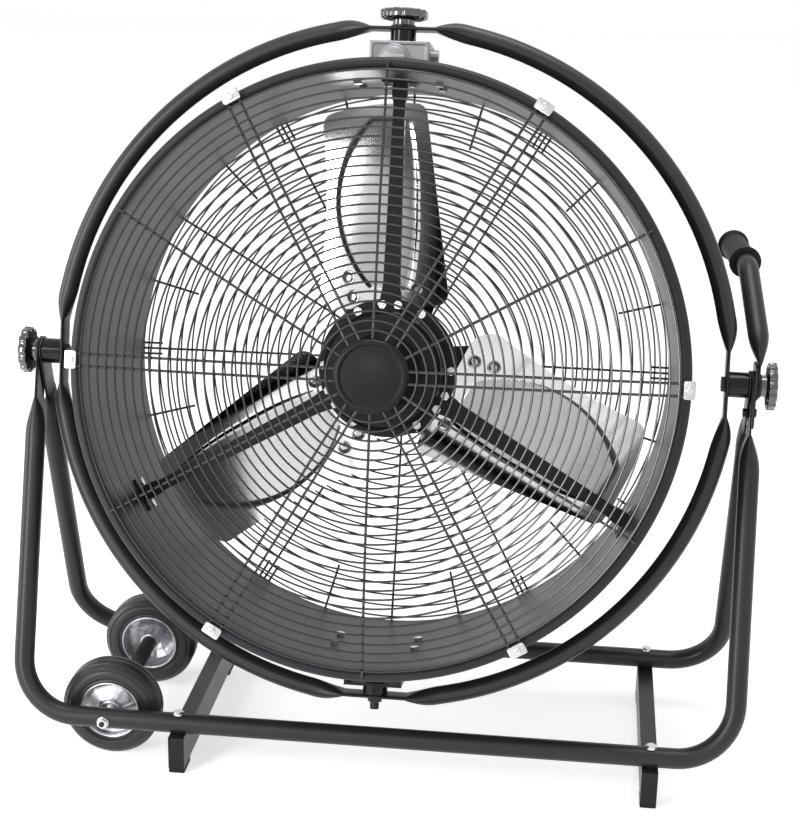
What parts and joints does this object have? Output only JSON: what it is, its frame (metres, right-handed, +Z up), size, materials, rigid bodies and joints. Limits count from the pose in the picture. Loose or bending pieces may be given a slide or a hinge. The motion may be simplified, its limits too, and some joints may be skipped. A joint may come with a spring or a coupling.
{
  "type": "drum fan",
  "caption": "Floor-standing drum fan: a wire-guarded barrel with an aluminium fan swivels in a tilting hoop, carried by a tube stand with wheels and a lifting handle",
  "frame": {"origin": "on the floor, under the middle of the overall box", "axes": "+Z up; -Y is the front, where the air blows out and the badge faces; +X is to the right seen from the front, the side with the lifting handle"},
  "size_m": [0.8222, 0.4175, 0.8173],
  "materials": {
    "stand_paint": "satin black powder coat",
    "hoop_paint": "satin black powder coat",
    "drum_paint": "satin charcoal powder coat",
    "grille_wire": "satin black powder coat",
    "motor_paint": "satin black enamel",
    "blade_metal": "polished pressed sheet",
    "zinc_fastener": "zinc plated",
    "black_fastener": "black oxide",
    "shaft_steel": "ground steel",
    "knob_plastic": "fine moulded texture",
    "cover_grey": "fine moulded texture",
    "badge_plastic": "smooth matt",
    "foot_rubber": "moulded rubber",
    "grip_rubber": "moulded rubber",
    "tyre_rubber": "ribbed rubber",
    "hub_steel": "galvanised pressed steel"
  },
  "bodies": {
    "stand": {"front_loop": "stand_paint", "rear_loop": "stand_paint", "left_cross_member": "stand_paint", "right_cross_member": "stand_paint", "rubber_feet": "foot_rubber", "end_plugs": "knob_plastic", "frame_screws": "zinc_fastener", "wheel_axle": "zinc_fastener", "axle_nut": "zinc_fastener", "axle_spacer": "stand_paint", "handle_arm": "stand_paint", "handle_grip": "grip_rubber", "handle_bracket": "stand_paint", "bracket_screw": "black_fastener", "tilt_washers": "zinc_fastener"},
    "near_wheel": {"near_tyre": "tyre_rubber", "near_wheel_hub": "hub_steel"},
    "far_wheel": {"far_tyre": "tyre_rubber", "far_wheel_hub": "hub_steel"},
    "left_clamp": {"left_knob": "knob_plastic"},
    "right_clamp": {"right_knob": "knob_plastic"},
    "tilting_hoop": {"hoop": "hoop_paint", "tilt_bolts": "black_fastener", "tilt_sleeves": "stand_paint", "top_washer": "zinc_fastener"},
    "top_clamp": {"top_knob": "knob_plastic"},
    "drum": {"drum_shell": "drum_paint", "top_bracket": "motor_paint", "bottom_bracket": "motor_paint", "bracket_bolts": "zinc_fastener", "top_pivot_bolt": "black_fastener", "top_sleeve": "stand_paint", "bottom_pivot_bolt": "black_fastener", "bottom_sleeve": "stand_paint", "bottom_lock_nut": "zinc_fastener", "switch_cover": "cover_grey", "rotary_switch": "knob_plastic", "cable_gland": "knob_plastic", "front_grille": "grille_wire", "rear_grille": "grille_wire", "badge": "badge_plastic", "front_clips": "zinc_fastener", "rear_clips": "zinc_fastener", "clip_screws": "zinc_fastener", "arm_bolts": "zinc_fastener", "motor_ring": "motor_paint", "motor_body": "motor_paint", "motor_cap": "motor_paint", "motor_arm_top": "motor_paint", "motor_arm_right": "motor_paint", "motor_arm_left": "motor_paint"},
    "dial": {"speed_dial": "knob_plastic"},
    "fan": {"motor_shaft": "shaft_steel", "blade_spider": "motor_paint", "hub_nut": "zinc_fastener", "blade_rivets": "zinc_fastener", "blade_1": "blade_metal", "blade_2": "blade_metal", "blade_3": "blade_metal"}
  },
  "joints": [
    {"name": "near_wheel_spin", "type": "hinge", "parent": "stand", "child": "near_wheel", "pos_m": [-0.295, -0.09578, 0.055], "axis": [0, 1, 0], "continuous": true},
    {"name": "far_wheel_spin", "type": "hinge", "parent": "stand", "child": "far_wheel", "pos_m": [-0.295, 0.07922, 0.055], "axis": [0, 1, 0], "continuous": true},
    {"name": "left_knob_turn", "type": "hinge", "parent": "stand", "child": "left_clamp", "pos_m": [-0.4, -0.00828, 0.439], "axis": [-1, 0, 0], "continuous": true},
    {"name": "right_knob_turn", "type": "hinge", "parent": "stand", "child": "right_clamp", "pos_m": [0.4, -0.00828, 0.439], "axis": [1, 0, 0], "continuous": true},
    {"name": "hoop_tilt", "type": "hinge", "parent": "stand", "child": "tilting_hoop", "pos_m": [0, -0.00828, 0.439], "axis": [1, 0, 0], "continuous": true},
    {"name": "top_knob_turn", "type": "hinge", "parent": "tilting_hoop", "child": "top_clamp", "pos_m": [0, 0.0772, 0.80926], "axis": [0, 0.225, 0.9744], "continuous": true},
    {"name": "drum_pan", "type": "hinge", "parent": "tilting_hoop", "child": "drum", "pos_m": [0, -0.00828, 0.439], "axis": [0, 0.225, 0.9744], "continuous": true},
    {"name": "dial_turn", "type": "hinge", "parent": "drum", "child": "dial", "pos_m": [-0.005, 0.03215, 0.76527], "axis": [0, -0.9744, 0.225], "range_deg": [0, 120]},
    {"name": "fan_spin", "type": "hinge", "parent": "drum", "child": "fan", "pos_m": [0, 0.03069, 0.43], "axis": [0, -0.9744, 0.225], "continuous": true}
  ]
}
